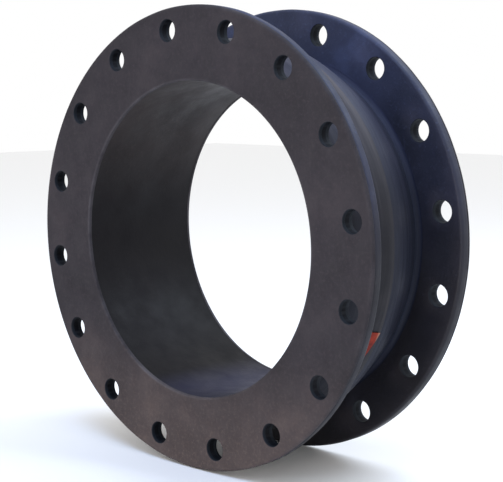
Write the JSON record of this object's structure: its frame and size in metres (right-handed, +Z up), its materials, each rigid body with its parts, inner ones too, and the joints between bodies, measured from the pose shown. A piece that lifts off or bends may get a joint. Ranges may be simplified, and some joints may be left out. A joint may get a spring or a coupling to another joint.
{
  "type": "rubber expansion joint",
  "caption": "Spool-shaped flexible rubber pipe joint with a low arch, a smooth flow bore and a full-face drilled rubber flange at each end.",
  "frame": {"origin": "centre of the front sealing face, on the flow axis", "axes": "+Y along the flow axis from the front to the rear sealing face, +Z up as the joint stands, +X to the right seen from the front"},
  "size_m": [0.5968, 0.192, 0.5968],
  "materials": {
    "facing_rubber": "matt dusty black rubber with a brown cast",
    "cover_rubber": "satin blue-black moulded rubber",
    "tube_rubber": "smooth satin black rubber",
    "gum_rubber": "matt soft gum rubber",
    "carcass_fabric": "rubber-coated woven fabric",
    "ring_steel": "drawn steel bar",
    "label_rubber": "matt red rubber patch with a pale border"
  },
  "bodies": {
    "front_flange": {"front_facing": "facing_rubber", "front_flange_ply_1": "carcass_fabric", "front_flange_ply_2": "carcass_fabric", "front_flange_ply_3": "carcass_fabric", "front_flange_ply_4": "carcass_fabric", "front_flange_ply_5": "carcass_fabric", "front_flange_cover": "cover_rubber"},
    "front_ring": {"front_body_ring": "ring_steel", "front_base_gum": "gum_rubber"},
    "inner_wall": {"bore_tube": "tube_rubber", "body_ply_1": "carcass_fabric"},
    "core": {"arch_filler": "gum_rubber", "body_ply_2": "carcass_fabric", "label_patch": "label_rubber"},
    "outer_wall": {"body_ply_3": "carcass_fabric", "body_ply_4": "carcass_fabric", "body_cover": "cover_rubber"},
    "rear_ring": {"rear_body_ring": "ring_steel", "rear_base_gum": "gum_rubber"},
    "rear_flange": {"rear_facing": "facing_rubber", "rear_flange_ply_1": "carcass_fabric", "rear_flange_ply_2": "carcass_fabric", "rear_flange_ply_3": "carcass_fabric", "rear_flange_ply_4": "carcass_fabric", "rear_flange_ply_5": "carcass_fabric", "rear_flange_cover": "cover_rubber"}
  },
  "joints": [
    {"name": "lateral_shift", "type": "slide", "parent": "front_flange", "child": "front_ring", "axis": [1, 0, 0], "range_m": [-0.01, 0.01], "stiffness_N_per_m": 120000, "deforming": ["bore_tube", "arch_filler", "body_ply_1", "body_ply_2", "body_ply_3", "body_ply_4", "body_cover", "front_base_gum"]},
    {"name": "twist", "type": "hinge", "parent": "front_ring", "child": "inner_wall", "pos_m": [0, 0.041, 0], "axis": [0, 1, 0], "range_deg": [-1.5, 1.5], "stiffness_Nm_per_rad": 19000, "deforming": ["bore_tube", "arch_filler", "body_ply_1", "body_ply_2", "body_ply_3", "body_ply_4", "body_cover"]},
    {"name": "sideways_bend", "type": "hinge", "parent": "inner_wall", "child": "core", "pos_m": [0, 0.06, 0], "axis": [0, 0, 1], "range_deg": [-3, 3], "stiffness_Nm_per_rad": 2900, "deforming": ["bore_tube", "arch_filler", "body_ply_1", "body_ply_2", "body_ply_3", "body_ply_4", "body_cover", "label_patch"]},
    {"name": "axial_travel", "type": "slide", "parent": "core", "child": "outer_wall", "axis": [0, 1, 0], "range_m": [-0.016, 0.008], "stiffness_N_per_m": 150000, "deforming": ["bore_tube", "arch_filler", "body_ply_1", "body_ply_2", "body_ply_3", "body_ply_4", "body_cover", "label_patch"]},
    {"name": "vertical_bend", "type": "hinge", "parent": "outer_wall", "child": "rear_ring", "pos_m": [0, 0.14, 0], "axis": [1, 0, 0], "range_deg": [-3, 3], "stiffness_Nm_per_rad": 2900, "deforming": ["bore_tube", "arch_filler", "body_ply_1", "body_ply_2", "body_ply_3", "body_ply_4", "body_cover"]},
    {"name": "vertical_shift", "type": "slide", "parent": "rear_ring", "child": "rear_flange", "axis": [0, 0, 1], "range_m": [-0.01, 0.01], "stiffness_N_per_m": 120000, "deforming": ["bore_tube", "arch_filler", "body_ply_1", "body_ply_2", "body_ply_3", "body_ply_4", "body_cover", "rear_base_gum"]}
  ]
}
